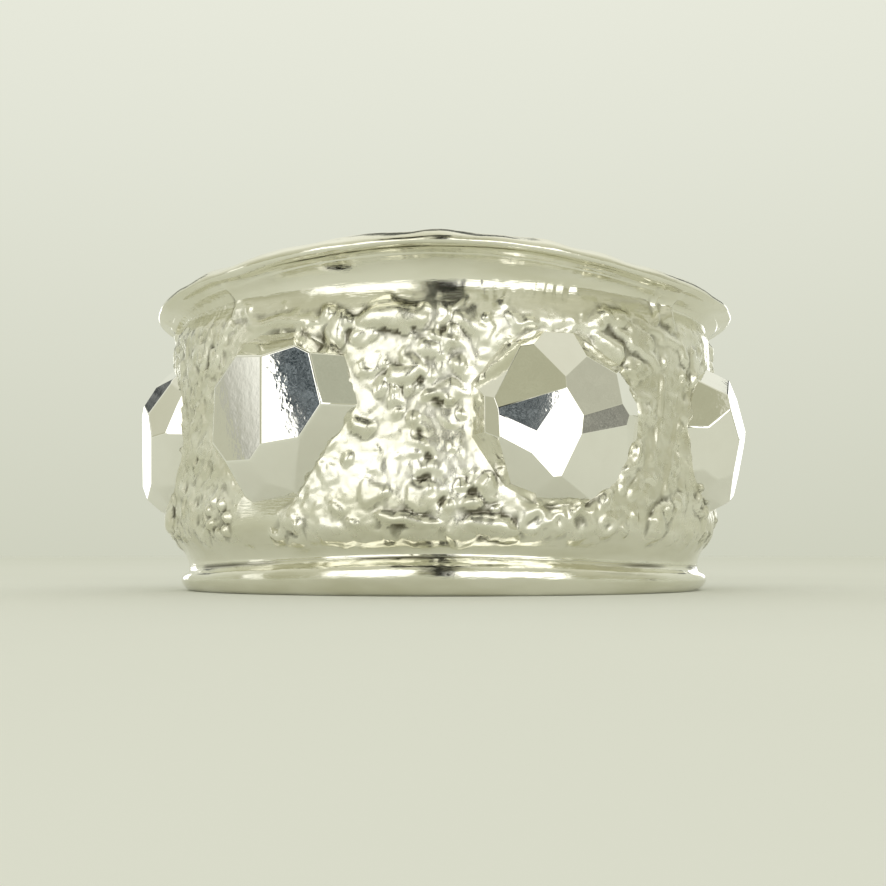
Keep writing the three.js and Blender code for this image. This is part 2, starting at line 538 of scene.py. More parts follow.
def dome(along, height, at, up, half_length, half_width, tilt):
    """1 in the middle of an oval dome and 0 outside it, with the points of the ground it can reach."""
    reach = half_length + WARP_REACH
    step = GROUND_LENGTH / along.shape[1]
    middle = round(at / step)
    spread = int(reach / step) + 1
    columns = np.arange(middle - spread, middle + spread + 1) % along.shape[1]
    rows = np.where(np.abs(height[:, 0] - up) < reach)[0]
    patch = np.ix_(rows, columns)
    x = round_the_ring(along[patch] - at)
    y = height[patch] - up
    u = (x * math.cos(tilt) + y * math.sin(tilt)) / half_length
    v = (y * math.cos(tilt) - x * math.sin(tilt)) / half_width
    return patch, np.sqrt(np.clip(1 - u * u - v * v, 0, None))


def grain_relief(grains, along, height, rng):
    """The rise of one kind of single grains on the grid of ground points."""
    total = np.zeros_like(along)
    least, most = GRAIN_RISES
    for at, up, radius in scatter(grains, rng):
        tilt = rng.random() * math.pi
        stretch = 1 + GRAIN_STRETCH * rng.random()
        rise = grains["rise"] * radius * (least + (most - least) * rng.random())
        patch, share = dome(along, height, at, up, radius * stretch, radius / math.sqrt(stretch), tilt)
        total[patch] += (rise * share) ** GRAIN_POWER
    return total ** (1 / GRAIN_POWER)


def pillow_relief(along, height):
    total = np.zeros_like(along)
    for pillow in PILLOWS:
        at = along_at(pillow["turn_deg"])
        up = pillow["height"]
        tilt = math.radians(pillow["tilt_deg"])
        patch, share = dome(along, height, at, up, pillow["long"], pillow["short"], tilt)
        total[patch] = np.maximum(total[patch], pillow["rise"] * share)
    return total


def pip_relief(along, height):
    """The rise of the pips, each a ring with a wall, and of the rosettes."""
    total = np.zeros_like(along)
    for pip in PIPS:
        way = np.hypot(round_the_ring(along - along_at(pip["turn_deg"])), height - pip["height"])
        total = np.maximum(total, PIP_RISE * bell(way - pip["radius"], PIP_WALL))
    for rosette in ROSETTES:
        for i in range(rosette["grains"]):
            turn = 2 * math.pi * i / rosette["grains"]
            at = along_at(rosette["turn_deg"]) + rosette["radius"] * math.cos(turn)
            up = rosette["height"] + rosette["radius"] * math.sin(turn)
            patch, share = dome(along, height, at, up, ROSETTE_GRAIN, ROSETTE_GRAIN, turn)
            total[patch] = np.maximum(total[patch], ROSETTE_RISE * share)
    return total


def pit_depth(along, height):
    total = np.zeros_like(along)
    for pit in PITS:
        way = np.hypot(round_the_ring(along - along_at(pit["turn_deg"])), height - pit["height"])
        total = np.maximum(total, pit["depth"] * bell(way, pit["radius"]))
    return total


def stroke_relief(along, height):
    """The rise of the long ridges."""
    total = np.zeros_like(along)
    for stroke in STROKES:
        start = along_at(stroke["from_deg"])
        run = along_at(stroke["to_deg"]) - start
        climb = stroke["to_height"] - stroke["from_height"]
        x = round_the_ring(along - start)
        y = height - stroke["from_height"]
        share = np.clip((x * run + y * climb) / (run**2 + climb**2), 0, 1)
        way = np.hypot(x - share * run, y - share * climb)
        total = np.maximum(total, stroke["rise"] * bell(way, stroke["width"]))
    return total


def pebble_relief(points, pebbles):
    """Fused pebbles: 0 on the borders of a cell noise's cells, and rounded up to a level in each."""
    flat = points.reshape(-1, 3) / pebbles["size"]
    tops = np.empty(len(flat))
    for i, p in enumerate(flat):
        ways, places = noise.voronoi(Vector(p))
        level = PEBBLE_LEVEL + (1 - PEBBLE_LEVEL) * abs(noise.noise(places[0] * PEBBLE_HASH))
        share = min(1, (ways[1] - ways[0]) / pebbles["edge"])
        tops[i] = level * share * (2 - share)
    return pebbles["rise"] * tops.reshape(points.shape[:-1])


def net_relief(points, net):
    """A net of fine ridges, on the borders between the cells of a cell noise."""
    edges = []
    for p in points.reshape(-1, 3) / net["size"]:
        ways = noise.voronoi(Vector(p))[0]
        edges.append(ways[1] - ways[0])
    return net["rise"] * bell(np.array(edges).reshape(points.shape[:-1]), net["width"])


def ground_relief(points, along, height):
    """How far the molten ground stands off the plain section."""
    rng = np.random.default_rng(SEED)
    warp_along = warp_at(points, "warp_along")
    warp_up = warp_at(points, "warp_up")
    along_warped = along + warp_along
    height_warped = height + warp_up
    warped = points + np.stack([warp_along, warp_along, warp_up], -1)

    pebbly = PEBBLY_SHARE + noise_at(points, PEBBLY_SIZE, "pebbly")
    for spot in PEBBLY_SPOTS:
        way = round_the_ring(along - along_at(spot["turn_deg"]))
        pebbly = pebbly + spot["more"] * bell(way, along_at(spot["width_deg"]))
    pebbly = PEBBLY_LEAST + (1 - PEBBLY_LEAST) * smoothstep(*PEBBLY_RANGE, pebbly)
    pebbles = pebble_relief(warped, PEBBLES) - GROUND_SET
    nets = sum(net_relief(warped, net) for net in NETS)
    grains = sum(grain_relief(kind, along_warped, height_warped, rng) for kind in GRAINS)
    relief = pebbly * (pebbles + grains) + (1 - pebbly) * nets
    relief = relief + SWELL_RISE * noise_at(points, SWELL_SIZE, "swell")
    for layer in (pillow_relief, pip_relief, stroke_relief):
        relief = np.maximum(relief, layer(along_warped, height_warped))
    relief = relief + pebbly * pebble_relief(warped, CURDS) - pit_depth(along_warped, height_warped)

    away = boss_distance(along + warp_along / 2, height + warp_up / 2)
    relief = relief * smoothstep(CLEAR_RADIUS, CLEAR_RADIUS + CLEAR_WIDTH, away)
    collar = bell(away - COLLAR_RADIUS, COLLAR_WIDTH) * (1 + noise_at(points, COLLAR_SIZE, "collar")) / 2
    return relief + COLLAR_RISE * collar - MOAT_DEPTH * bell(away - MOAT_RADIUS, MOAT_WIDTH)


def rib_relief(along, height):
    """The rise of the ribs in the upper cove."""
    total = np.zeros_like(along)
    low = smoothstep(RIB_LOW - RIB_EDGE, RIB_LOW + RIB_EDGE, height)
    high = 1 - smoothstep(RIB_HIGH - RIB_EDGE, RIB_HIGH + RIB_EDGE, height)
    for rib in RIBS:
        way = round_the_ring(along - along_at(rib["turn_deg"]))
        width = np.where(way < 0, rib["left"], rib["right"])
        total += rib["rise"] * bell(way, width) * low * high
    return total


def comb_relief(points, along, height):
    """The rise of the fine upright lines in the upper cove, some stronger than others."""
    drift = noise_at(points, COMB_DRIFT_SIZE, "comb")
    rise = np.zeros_like(along)
    edge = along_at(COMB_EDGE_DEG)
    for comb in COMBS:
        middle = along_at((comb["from_deg"] + comb["to_deg"]) / 2)
        half = along_at((comb["to_deg"] - comb["from_deg"]) / 2)
        way = np.abs(round_the_ring(along - middle))
        rise += comb["rise"] * (1 - smoothstep(half - edge, half + edge, way))
    low = smoothstep(COMB_LOW - RIB_EDGE, COMB_LOW + RIB_EDGE, height)
    high = 1 - smoothstep(COMB_HIGH - RIB_EDGE, COMB_HIGH + RIB_EDGE, height)
    wave = np.sin(2 * math.pi * (along + COMB_DRIFT * drift) / COMB_PITCH)
    return rise * low * high * (1 + drift) * wave


def band_relief(points, along, height):
    """How far the band's smooth outside stands off the plain section."""
    along_warped = along + warp_at(points, "warp_along")
    relief = rib_relief(along_warped, height) + comb_relief(points, along_warped, height)
    line = LIP_LINE + LIP_LINE_WAVER * noise_at(points, LIP_LINE_WAVES, "lip_line")
    relief = relief - LIP_LINE_DEPTH * bell(height - line, LIP_LINE_WIDTH)
    lip = smoothstep(LIP_FROM, TOP, height)
    relief = relief + LIP_DENT * lip * noise_at(points, LIP_DENT_SIZE, "lip_dent")
    relief = relief + DENT * noise_at(points, DENT_SIZE, "dent")
    return relief + RIPPLE * noise_at(points, RIPPLE_SIZE, "ripple")


def blur(field, passes):
    """Softens a field that closes on itself along its columns."""
    weights = 2 + BLUR_MIDDLE
    for _ in range(passes):
        wide = np.roll(field, 1, 1) + np.roll(field, -1, 1) + BLUR_MIDDLE * field
        tall = np.vstack([wide[:1], wide[:-1]]) + np.vstack([wide[1:], wide[-1:]]) + BLUR_MIDDLE * wide
        field = tall / weights**2
    return field


def ring_mesh(name, radius, level, angle):
    """A closed ring from a grid: its rows go once round the section, its columns round the finger."""
    rows, columns = radius.shape
    i, j = np.meshgrid(np.arange(rows), np.arange(columns), indexing="ij")
    i2 = (i + 1) % rows
    j2 = (j + 1) % columns
    faces = np.stack([i * columns + j, i * columns + j2, i2 * columns + j2, i2 * columns + j], -1)
    mesh = bpy.data.meshes.new(name)
    vertices = turned(radius, angle, level).reshape(-1, 3) * MM
    mesh.from_pydata(vertices.tolist(), [], faces.reshape(-1, 4).tolist())
    mesh.shade_smooth()
    return mesh


def add_attribute(mesh, name, values):
    attribute = mesh.attributes.new(name, "FLOAT", "POINT")
    attribute.data.foreach_set("value", values.ravel().astype(np.float32))


# The share of painted shade in the creases, 0 to 1: how far each point lies under its blurred surroundings
def crease_shade_of(relief):
    return np.clip((blur(relief, CREASE_BLURS) - relief) / CREASE_DEPTH, 0, 1)


def roll_crease_shade(points, height):
    """How much painted shade darkens the crease over the foot's roll, with breaks in it."""
    breaks = smoothstep(*ROLL_CREASE_RANGE, noise_at(points, ROLL_CREASE_BREAKS, "roll_crease_shade"))
    return breaks * bell(height - ROLL_CREASE, ROLL_CREASE_WIDTH)


def angle_grid(rows, columns):
    return np.broadcast_to(np.arange(columns) * 2 * math.pi / columns, (rows, columns))


def band_mesh():
    """The smooth band: foot, roll, lip and bore, sunk where the skin covers it."""
    rows = section_rows()
    angle = angle_grid(len(rows), BAND_STEPS)
    stand, height, sway, lift = (column[:, None] for column in rows.T)
    radius = FINGER_RADIUS + stand + sway * waver(angle, "out")
    level = height + lift * waver(angle, "up")
    ahead = np.roll(rows, -1, 0) - np.roll(rows, 1, 0)
    length = np.hypot(ahead[:, 0], ahead[:, 1])
    out_r = (ahead[:, 1] / length)[:, None]
    out_z = (-ahead[:, 0] / length)[:, None]

    part = outside_of(rows)
    points = turned(radius[part], angle[part], level[part])
    along = angle[part] * GROUND_RADIUS
    relief = np.zeros_like(radius)
    relief[part] = band_relief(points, along, np.broadcast_to(height[part], along.shape))
    # Painted shade, darker the deeper the band's creases are
    crease_shade = crease_shade_of(relief)
    # Painted shade along the crease over the foot's roll
    crease_shade[part] = np.maximum(crease_shade[part], roll_crease_shade(points, height[part]))
    low = smoothstep(SKIN_LOW + SKIN_LAP, SKIN_LOW + 2 * SKIN_LAP, height[part])
    high = 1 - smoothstep(SKIN_HIGH - 2 * SKIN_LAP, SKIN_HIGH - SKIN_LAP, height[part])
    relief[part] -= SINK * low * high
    level = np.clip(level + relief * out_z, 0, None)
    mesh = ring_mesh("band", radius + relief * out_r, level, angle)
    add_attribute(mesh, "crease_shade", crease_shade)
    return mesh


def skin_heights():
    """The heights of the skin's rows: close together on the ground and at the ends, where it sinks."""
    low = GROUND_LOW - GROUND_MARGIN
    high = GROUND_HIGH + GROUND_MARGIN
    return np.concatenate([
        [SKIN_LOW - SKIN_SEAM, SKIN_LOW],
        np.arange(SKIN_LOW + SKIN_SEAM, low, COVE_PITCH),
        np.arange(low, high, GROUND_PITCH),
        np.arange(high, SKIN_HIGH - SKIN_SEAM, COVE_PITCH),
        [SKIN_HIGH - SKIN_SEAM, SKIN_HIGH, SKIN_HIGH + SKIN_SEAM],
    ])


def ground_mesh():
    """The skin with the molten ground: a closed body let into the band."""
    rows = section_rows()
    rows = rows[outside_of(rows)]
    heights = skin_heights()
    stand, sway, lift = (np.interp(heights, rows[:, 1], rows[:, k])[:, None] for k in (0, 2, 3))
    lean = np.gradient(stand[:, 0], heights)[:, None]
    out_r = 1 / np.hypot(1, lean)
    out_z = -lean * out_r

    angle = angle_grid(len(heights), GROUND_STEPS)
    radius = FINGER_RADIUS + stand + sway * waver(angle, "out")
    level = heights[:, None] + lift * waver(angle, "up")
    points = turned(radius, angle, level)
    along = angle * GROUND_RADIUS
    molten = ground_share(points, along, level)
    relief = ground_relief(points, along, level) * molten
    plain = np.broadcast_to(heights[:, None], along.shape)
    relief = relief + band_relief(points, along, plain) + SKIN_LIFT
    # Painted shade in the skin's creases and along the crease over the foot's roll
    crease_shade = np.maximum(crease_shade_of(relief), roll_crease_shade(points, heights[:, None]))
    relief[[0, -1]] -= SINK
    radius = radius + relief * out_r
    level = level + relief * out_z
    for row in SKIN_INSIDE:
        radius = np.vstack([radius, np.full_like(radius[:1], FINGER_RADIUS + row["stand"])])
        level = np.vstack([level, np.full_like(level[:1], row["height"])])
    mesh = ring_mesh("ground", radius, level, angle_grid(len(radius), GROUND_STEPS))
    hidden = ((0, len(SKIN_INSIDE)), (0, 0))
    add_attribute(mesh, "crease_shade", np.pad(crease_shade, hidden))
    add_attribute(mesh, "molten", np.pad(molten, hidden))
    return mesh


def leaning(turn, lean):
    """A direction in a boss's own frame: X to the right, Y up and Z out along its axis."""
    return Vector((math.cos(turn) * math.sin(lean), math.sin(turn) * math.sin(lean), math.cos(lean)))


def boss_planes(facets):
    """The planes round a boss, as normal and distance from its centre."""
    planes = []
    for facet in facets:
        normal = leaning(math.radians(facet["turn_deg"]), math.radians(facet["lean_deg"]))
        planes.append((normal, facet["off"]))
    for side in range(SKIRT_SIDES):
        turn = 2 * math.pi * side / SKIRT_SIDES
        radius = BOSS_RADIUS - SKIRT_WAVER * (1 + math.sin(SKIRT_WAVES * turn + len(facets)))
        normal = leaning(turn, math.radians(SKIRT_LEAN_DEG))
        foot = Vector((radius * math.cos(turn), radius * math.sin(turn), BOSS_DEPTH))
        planes.append((normal, normal.dot(foot)))
    planes.append((Vector((0, 0, -1)), BOSS_ROOT - BOSS_DEPTH))
    return planes


def boss_corners(planes):
    """Every point where three of the planes meet and none of the others cuts it off."""
    corners = []
    for i, (n1, d1) in enumerate(planes):
        for j in range(i + 1, len(planes)):
            for k in range(j + 1, len(planes)):
                matrix = Matrix((n1, planes[j][0], planes[k][0]))
                if abs(matrix.determinant()) < PARALLEL:
                    continue
                point = matrix.inverted() @ Vector((d1, planes[j][1], planes[k][1]))
                if all(n.dot(point) < d + CUT_SLACK for n, d in planes):
                    corners.append(point)
    return corners


def boss_mesh(name, angle, facets, twist):
    """A faceted boss with softened edges, in its place on the band."""
    bm = bmesh.new()
    for corner in boss_corners(boss_planes(facets)):
        bm.verts.new(corner)
    bmesh.ops.remove_doubles(bm, verts=bm.verts, dist=SAME_CORNER)
    hull = bmesh.ops.convex_hull(bm, input=bm.verts)
    spare = [v for v in hull["geom_interior"] if isinstance(v, bmesh.types.BMVert)]
    bmesh.ops.delete(bm, geom=spare, context="VERTS")
    same_plane = math.radians(SAME_PLANE_DEG)
    bmesh.ops.dissolve_limit(bm, angle_limit=same_plane, verts=bm.verts, edges=bm.edges)
    bevels = bmesh.ops.bevel(
        bm,
        geom=list(bm.edges),
        offset=BOSS_BEVEL,
        segments=BOSS_BEVEL_STEPS,
        profile=BOSS_BEVEL_ROUND,
        affect="EDGES",
        clamp_overlap=True,
    )
    for face in bevels["faces"]:
        face.smooth = True
    out = Vector((math.sin(angle), -math.cos(angle), 0))
    up = Vector((0, 0, 1))
    place = Matrix((up.cross(out), up, out)).transposed().to_4x4() @ Matrix.Rotation(twist, 4, "Z")
    place.translation = out * (GROUND_RADIUS - BOSS_DEPTH) + up * BOSS_HEIGHT
    bm.transform(Matrix.Scale(MM, 4) @ place)
    bmesh.ops.recalc_face_normals(bm, faces=bm.faces)
    mesh = bpy.data.meshes.new(name)
    bm.to_mesh(mesh)
    bm.free()
    return mesh


# Where a ramp's new stop goes before it has its own place, and the detail of noises
RAMP_MIDDLE = 0.5
PLAIN_DETAIL = 3.0
FINE_DETAIL = 4.0
SOFT_DETAIL = 2.0
NOISE_ROUGHNESS = 0.55


def new_material(name):
    material = bpy.data.materials.new(name)
    material.use_nodes = True
    tree = material.node_tree
    return material, tree, tree.nodes["Principled BSDF"]


def add_node(tree, kind, **inputs):
    node = tree.nodes.new(kind)
    for name, value in inputs.items():
        node.inputs[name.replace("_", " ")].default_value = value
    return node


def ramp(tree, source, stops):
    node = tree.nodes.new("ShaderNodeValToRGB")
    elements = node.color_ramp.elements
    while len(elements) < len(stops):
        elements.new(RAMP_MIDDLE)
    for element, (place, colour) in zip(elements, stops):
        element.position = place
        element.color = (*colour, 1) if len(colour) == 3 else colour
    tree.links.new(source, node.inputs["Fac"])
    return node


def noise_node(tree, coords, scale, detail=PLAIN_DETAIL):
    node = add_node(tree, "ShaderNodeTexNoise", Scale=scale, Detail=detail, Roughness=NOISE_ROUGHNESS)
    tree.links.new(coords, node.inputs["Vector"])
    return node


def bump_node(tree, height, strength, distance, under=None):
    node = add_node(tree, "ShaderNodeBump", Strength=strength, Distance=distance)
    tree.links.new(height, node.inputs["Height"])
    if under:
        tree.links.new(under.outputs["Normal"], node.inputs["Normal"])
    return node


def grey(value):
    return (value, value, value)


# Tones of the silver
BAND_SILVER = (0.86, 0.85, 0.755)
FACET_SILVER = (0.94, 0.935, 0.89)
FACET_SMUDGE = (0.89, 0.88, 0.83)
# Painted shade: the darkest tone, given to the deepest creases
CREASE_SHADE = (0.16, 0.15, 0.115)
SMEAR = (0.86, 0.855, 0.8)

# Ramps: painted shade over the depth of a crease, and tints and roughness over the tones of a noise
BAND_CREASE_SHADE = [(0.3, BAND_SILVER), (0.95, CREASE_SHADE)]
GROUND_CREASE_SHADE = [(0.26, BAND_SILVER), (0.95, CREASE_SHADE)]
SMEAR_TINTS = [(0.35, SMEAR), (0.6, grey(1))]
FACET_TINTS = [(0.3, FACET_SILVER), (0.8, FACET_SMUDGE)]
HAND_GLOSS = [(0.3, grey(0.06)), (0.75, grey(0.15))]
GROUND_GLOSS = [(0.3, grey(0.22)), (0.75, grey(0.36))]
FACET_GLOSS = [(0.35, grey(0.02)), (0.8, grey(0.07))]

# Scales of the noises, for each metre, and how much finer some of them are upright
SMEAR_SCALE = 260.0
SMEAR_FINER = 4
HAND_SCALE = 900.0
LINE_SCALE = 1400.0
LINE_FINER = 9
GROUND_SCALE = 1500.0
CURDLE_SCALE = 3600.0
GRIT_SCALE = 7000.0
FACET_SCALE = 700.0
WAVE_SCALE = 3600.0

# Bumps: strength, and height in metres
LINE_BUMP = {"strength": 0.3, "distance": 0.00003}
CURDLE_BUMP = {"strength": 0.3, "distance": -0.00007}
GRIT_BUMP = {"strength": 0.2, "distance": 0.00003}
WAVE_BUMP = {"strength": 0.08, "distance": 0.00002}


def attribute_of(tree, name):
    node = tree.nodes.new("ShaderNodeAttribute")
    node.attribute_name = name
    return node.outputs["Fac"]


def silver_with_crease_shade(name, stops):
    """Silver with painted shade darkening its creases and faint tarnished smears, with its roughness still
    to set.
    """
    material, tree, shader = new_material(name)
    shader.inputs["Metallic"].default_value = 1.0
    # The base colour darkens to painted shade in the creases
    colour = ramp(tree, attribute_of(tree, "crease_shade"), stops)
    coords = tree.nodes.new("ShaderNodeTexCoord").outputs["Object"]
    stretch = add_node(tree, "ShaderNodeMapping", Scale=(1, 1, SMEAR_FINER))
    tree.links.new(coords, stretch.inputs["Vector"])
    smear = noise_node(tree, stretch.outputs["Vector"], SMEAR_SCALE)
    tint = ramp(tree, smear.outputs["Fac"], SMEAR_TINTS)
    mix = tree.nodes.new("ShaderNodeMix")
    mix.data_type = "RGBA"
    mix.blend_type = "MULTIPLY"
    mix.inputs["Factor"].default_value = 1.0
    tree.links.new(colour.outputs["Color"], mix.inputs["A"])
    tree.links.new(tint.outputs["Color"], mix.inputs["B"])
    tree.links.new(mix.outputs["Result"], shader.inputs["Base Color"])
    return material, tree, shader, coords


def hand_gloss(tree, coords):
    """The uneven roughness of silver polished by hand."""
    smudge = noise_node(tree, coords, HAND_SCALE)
    return ramp(tree, smudge.outputs["Fac"], HAND_GLOSS)


def hand_lines(tree, coords):
    """The fine lines round the ring of silver polished by hand."""
    stretch = add_node(tree, "ShaderNodeMapping", Scale=(1, 1, LINE_FINER))
    tree.links.new(coords, stretch.inputs["Vector"])
    lines = noise_node(tree, stretch.outputs["Vector"], LINE_SCALE, detail=FINE_DETAIL)
    return bump_node(tree, lines.outputs["Fac"], **LINE_BUMP)


def band_silver():
    """Silver polished by hand, with fine lines round the ring and smears."""
    material, tree, shader, coords = silver_with_crease_shade("band_silver", BAND_CREASE_SHADE)
    tree.links.new(hand_gloss(tree, coords).outputs["Color"], shader.inputs["Roughness"])
    tree.links.new(hand_lines(tree, coords).outputs["Normal"], shader.inputs["Normal"])
    return material


def ground_silver():
    """Silver that was molten, with painted shade in its creases, finely pitted, and polished where it was
    not.
    """
    material, tree, shader, coords = silver_with_crease_shade("ground_silver", GROUND_CREASE_SHADE)
    molten = attribute_of(tree, "molten")
    smudge = noise_node(tree, coords, GROUND_SCALE)
    gloss = ramp(tree, smudge.outputs["Fac"], GROUND_GLOSS)
    blend = tree.nodes.new("ShaderNodeMix")
    tree.links.new(molten, blend.inputs["Factor"])
    tree.links.new(hand_gloss(tree, coords).outputs["Color"], blend.inputs["A"])
    tree.links.new(gloss.outputs["Color"], blend.inputs["B"])
    tree.links.new(blend.outputs["Result"], shader.inputs["Roughness"])
    cells = add_node(tree, "ShaderNodeTexVoronoi", Scale=CURDLE_SCALE)
    cells.feature = "SMOOTH_F1"
    tree.links.new(coords, cells.inputs["Vector"])
    lines = hand_lines(tree, coords)
    curdled = bump_node(tree, cells.outputs["Distance"], under=lines, **CURDLE_BUMP)
    grit = noise_node(tree, coords, GRIT_SCALE, detail=FINE_DETAIL)
    pitted = bump_node(tree, grit.outputs["Fac"], under=curdled, **GRIT_BUMP)
    for bump in (lines, curdled, pitted):
        full = bump.inputs["Strength"].default_value
        ends = (full, 0) if bump is lines else (0, full)
        strength = add_node(tree, "ShaderNodeMapRange", To_Min=ends[0], To_Max=ends[1])
        tree.links.new(molten, strength.inputs["Value"])
        tree.links.new(strength.outputs["Result"], bump.inputs["Strength"])
    tree.links.new(pitted.outputs["Normal"], shader.inputs["Normal"])
    return material


def facet_silver():
    """Brightly polished silver, with the slight waves and smears of facets filed by hand."""
    material, tree, shader = new_material("facet_silver")
    shader.inputs["Metallic"].default_value = 1.0
    coords = tree.nodes.new("ShaderNodeTexCoord").outputs["Object"]
    smudge = noise_node(tree, coords, FACET_SCALE)
    tint = ramp(tree, smudge.outputs["Fac"], FACET_TINTS)
    tree.links.new(tint.outputs["Color"], shader.inputs["Base Color"])
    gloss = ramp(tree, smudge.outputs["Fac"], FACET_GLOSS)
    tree.links.new(gloss.outputs["Color"], shader.inputs["Roughness"])
    waves = noise_node(tree, coords, WAVE_SCALE, detail=SOFT_DETAIL)
    bump = bump_node(tree, waves.outputs["Fac"], **WAVE_BUMP)
    tree.links.new(bump.outputs["Normal"], shader.inputs["Normal"])
    return material


def add_piece(mesh, material):
    piece = bpy.data.objects.new(mesh.name, mesh)
    bpy.context.scene.collection.objects.link(piece)
    mesh.materials.append(material)
    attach(piece, "root")
    return piece


def make_ring():
    band = add_piece(band_mesh(), band_silver())
    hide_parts("bossed_band")
    add_piece(ground_mesh(), ground_silver())
    polish = facet_silver()
    for i, angle in enumerate(BOSS_ANGLES):
        twist = math.radians(BOSS_TWISTS_DEG[i])
        add_piece(boss_mesh(f"boss_{i + 1}", angle, facets_of(i), twist), polish)


# The stage, in metres
FLOOR_HALF = 3.0
FLOOR_MOTTLE = 60.0
FLOOR_TONES = [(0.3, (0.83, 0.842, 0.81)), (0.7, (0.845, 0.857, 0.825))]
FLOOR_ROUGHNESS = 0.8
CAMERA_AWAY = 0.052
CAMERA_HEIGHT = 0.0013
CAMERA_AIM = 0.0058
CAMERA_LENS = 53.0
CAMERA_NEAREST = 0.001

# The surround's tones from the horizon up, behind the ring and in front of it, and the stretch of its
# Y direction over which the front gives way to the back
WORLD_BEHIND = [(0.0, (0.625, 0.64, 0.525)), (0.3, (0.76, 0.775, 0.67)), (0.9, (1.0, 1.0, 0.9))]
WORLD_FRONT = [(0.0, (0.46, 0.46, 0.33)), (0.8, (0.7, 0.7, 0.57))]
WORLD_TURN = (-0.1, 0.5)

# Soft lights round the ring's middle, and whether each lights the floor too
SOFTBOX_AWAY = 0.30
SOFTBOX_COLOUR = (1.0, 0.995, 1.03)
SOFTBOXES = [
    {
        "name": "softbox_left", "azimuth_deg": -32, "elevation_deg": 15,
        "width": 0.22, "height": 0.17, "radiance": 1.25, "lights_floor": True,
    },
    {
        "name": "softbox_right", "azimuth_deg": 29, "elevation_deg": 10,
        "width": 0.26, "height": 0.12, "radiance": 1.5, "lights_floor": True,
    },
    {
        "name": "strip_left", "azimuth_deg": -150, "elevation_deg": 6,
        "width": 0.06, "height": 0.07, "radiance": 1.5, "lights_floor": False,
    },
    {
        "name": "strip_right", "azimuth_deg": 154, "elevation_deg": 8,
        "width": 0.06, "height": 0.08, "radiance": 1.5, "lights_floor": False,
    },
]

# Cards for the metal to mirror: place round the ring's middle, roll, size, how much of the lower edge
# is cut off on the left, and two tones. They are mottled with both, or fade from the first to the
# second over a width from the left edge.
CARD_MOTTLE = 900.0
CARD_MOTTLE_RANGE = (0.4, 0.65)
CARDS = [
    {
        "name": "card_front", "azimuth_deg": 0, "elevation_deg": 18, "away": 0.12, "roll_deg": 0,
        "width": 0.022, "height": 0.12, "cut": 0, "fade": 0,
        "dark": (0.005, 0.005, 0.004), "light": (0.03, 0.03, 0.025),
    },
    {
        "name": "card_high", "azimuth_deg": -9, "elevation_deg": 58, "away": 0.12, "roll_deg": 0,
        "width": 0.06, "height": 0.05, "cut": 0, "fade": 0,
        "dark": (0.01, 0.01, 0.008), "light": (0.05, 0.05, 0.04),
    },
    {
        "name": "card_patch", "azimuth_deg": -41, "elevation_deg": 7.5, "away": 0.16, "roll_deg": 0,
        "width": 0.0112, "height": 0.0196, "cut": 0.575, "fade": 0,
        "dark": (0.02, 0.028, 0.032), "light": (0.27, 0.31, 0.33),
    },
    {
        "name": "card_sliver", "azimuth_deg": 13.2, "elevation_deg": 18, "away": 0.15, "roll_deg": 0,
        "width": 0.009, "height": 0.016, "cut": 0, "fade": 0,
        "dark": (0.05, 0.06, 0.065), "light": (0.26, 0.29, 0.3),
    },
    {
        "name": "card_olive", "azimuth_deg": 12, "elevation_deg": 39, "away": 0.15, "roll_deg": 0,
        "width": 0.034, "height": 0.034, "cut": 0, "fade": 0,
        "dark": (0.43, 0.43, 0.3), "light": (0.48, 0.48, 0.34),
    },
    {
        "name": "card_side", "azimuth_deg": 89, "elevation_deg": 25, "away": 0.15, "roll_deg": 0,
        "width": 0.05, "height": 0.044, "cut": 0, "fade": 0,
        "dark": (0.48, 0.48, 0.38), "light": (0.54, 0.54, 0.43),
    },
    {
        "name": "card_grey", "azimuth_deg": 92.5, "elevation_deg": 0, "away": 0.15, "roll_deg": 0,
        "width": 0.02, "height": 0.012, "cut": 0, "fade": 0,
        "dark": (0.2, 0.2, 0.17), "light": (0.42, 0.42, 0.36),
    },
    {
        "name": "card_bevel", "azimuth_deg": 57, "elevation_deg": 29, "away": 0.15, "roll_deg": 0,
        "width": 0.026, "height": 0.026, "cut": 0, "fade": 0,
        "dark": (0.42, 0.43, 0.33), "light": (0.48, 0.49, 0.38),
    },
    {
        "name": "card_glow", "azimuth_deg": -86, "elevation_deg": 9, "away": 0.15, "roll_deg": 16,
        "width": 0.0236, "height": 0.06, "cut": 0, "fade": 0.009,
        "dark": (0.42, 0.42, 0.36), "light": (1.2, 1.2, 1.1),
    },
    {
        "name": "card_back_left", "azimuth_deg": -141, "elevation_deg": 25, "away": 0.15, "roll_deg": 12,
        "width": 0.04, "height": 0.05, "cut": 0.4, "fade": 0,
        "dark": (0.05, 0.055, 0.055), "light": (0.26, 0.27, 0.26),
    },
    {
        "name": "card_back_right", "azimuth_deg": 142, "elevation_deg": 27, "away": 0.15, "roll_deg": -8,
        "width": 0.045, "height": 0.045, "cut": 0.3, "fade": 0,
        "dark": (0.05, 0.055, 0.055), "light": (0.26, 0.27, 0.26),
    },
    {
        "name": "card_back_high", "azimuth_deg": 178, "elevation_deg": 52, "away": 0.14, "roll_deg": 5,
        "width": 0.06, "height": 0.04, "cut": 0.2, "fade": 0,
        "dark": (0.05, 0.055, 0.05), "light": (0.22, 0.23, 0.21),
    },
]


